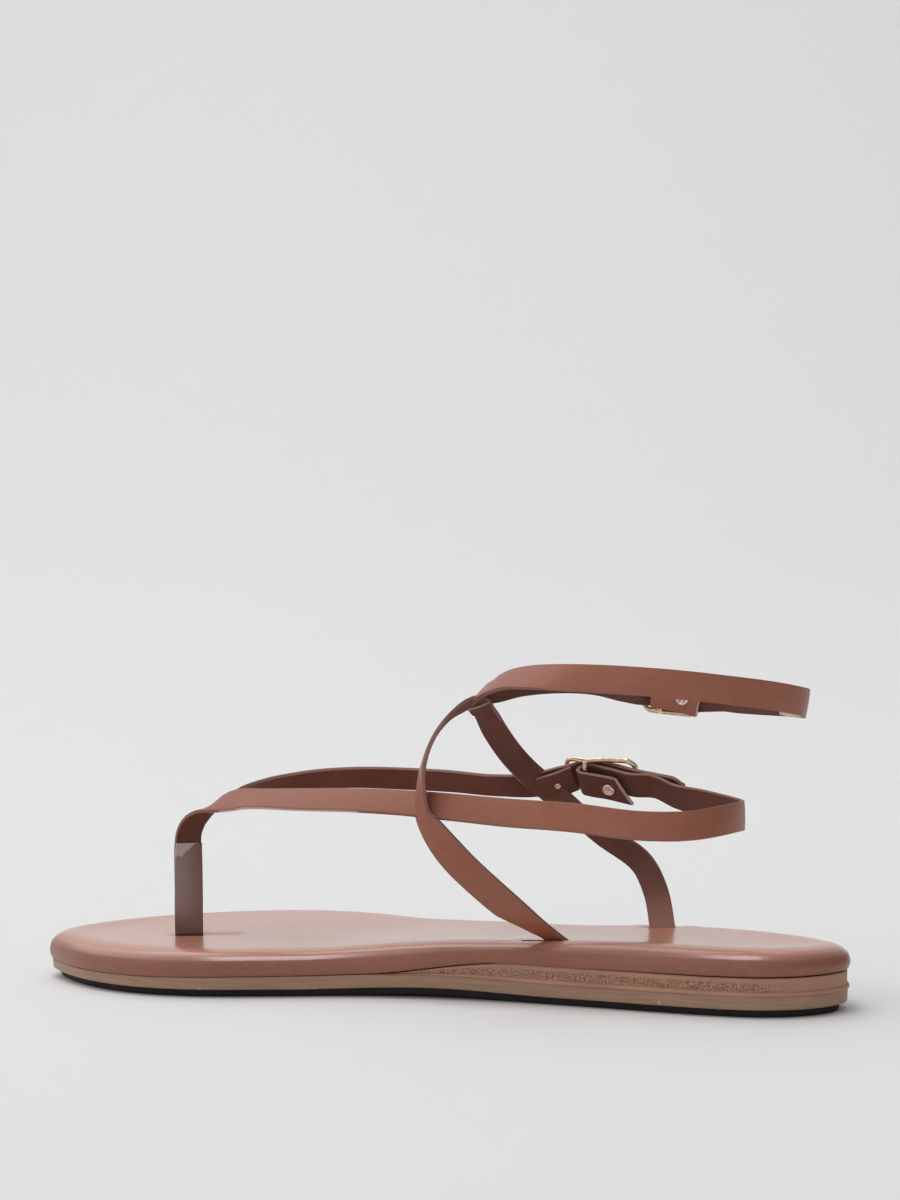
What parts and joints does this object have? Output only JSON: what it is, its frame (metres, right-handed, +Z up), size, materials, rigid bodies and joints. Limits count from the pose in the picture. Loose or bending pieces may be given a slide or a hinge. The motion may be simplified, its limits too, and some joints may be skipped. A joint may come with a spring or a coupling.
{
  "type": "flat sandal",
  "caption": "Flat leather thong sandal for the right foot: layered sole with padded footbed, toe post, crossed instep straps, and buckled heel and ankle loops.",
  "frame": {"origin": "on the floor, under the middle of the sandal's bounding box", "axes": "+X from heel to toe, +Y to the medial side (towards the other foot), +Z up from the floor"},
  "size_m": [0.2501, 0.0936, 0.0955],
  "materials": {
    "outsole_leather": "tan sole leather with a burnished cut edge",
    "wedge_leather": "rough, fibrous leather-board edge",
    "footbed_leather": "smooth padded leather, satin",
    "strap_leather": "smooth grain outside, dark flesh side, pale raw edges",
    "buckle_brass": "polished pale brass"
  },
  "bodies": {
    "root": {"outsole": "outsole_leather", "heel_wedge": "wedge_leather", "footbed": "footbed_leather", "upper": "strap_leather", "instep_buckle_frame": "buckle_brass", "instep_buckle_prong": "buckle_brass", "ankle_buckle_frame": "buckle_brass", "ankle_buckle_prong": "buckle_brass"}
  },
  "joints": []
}
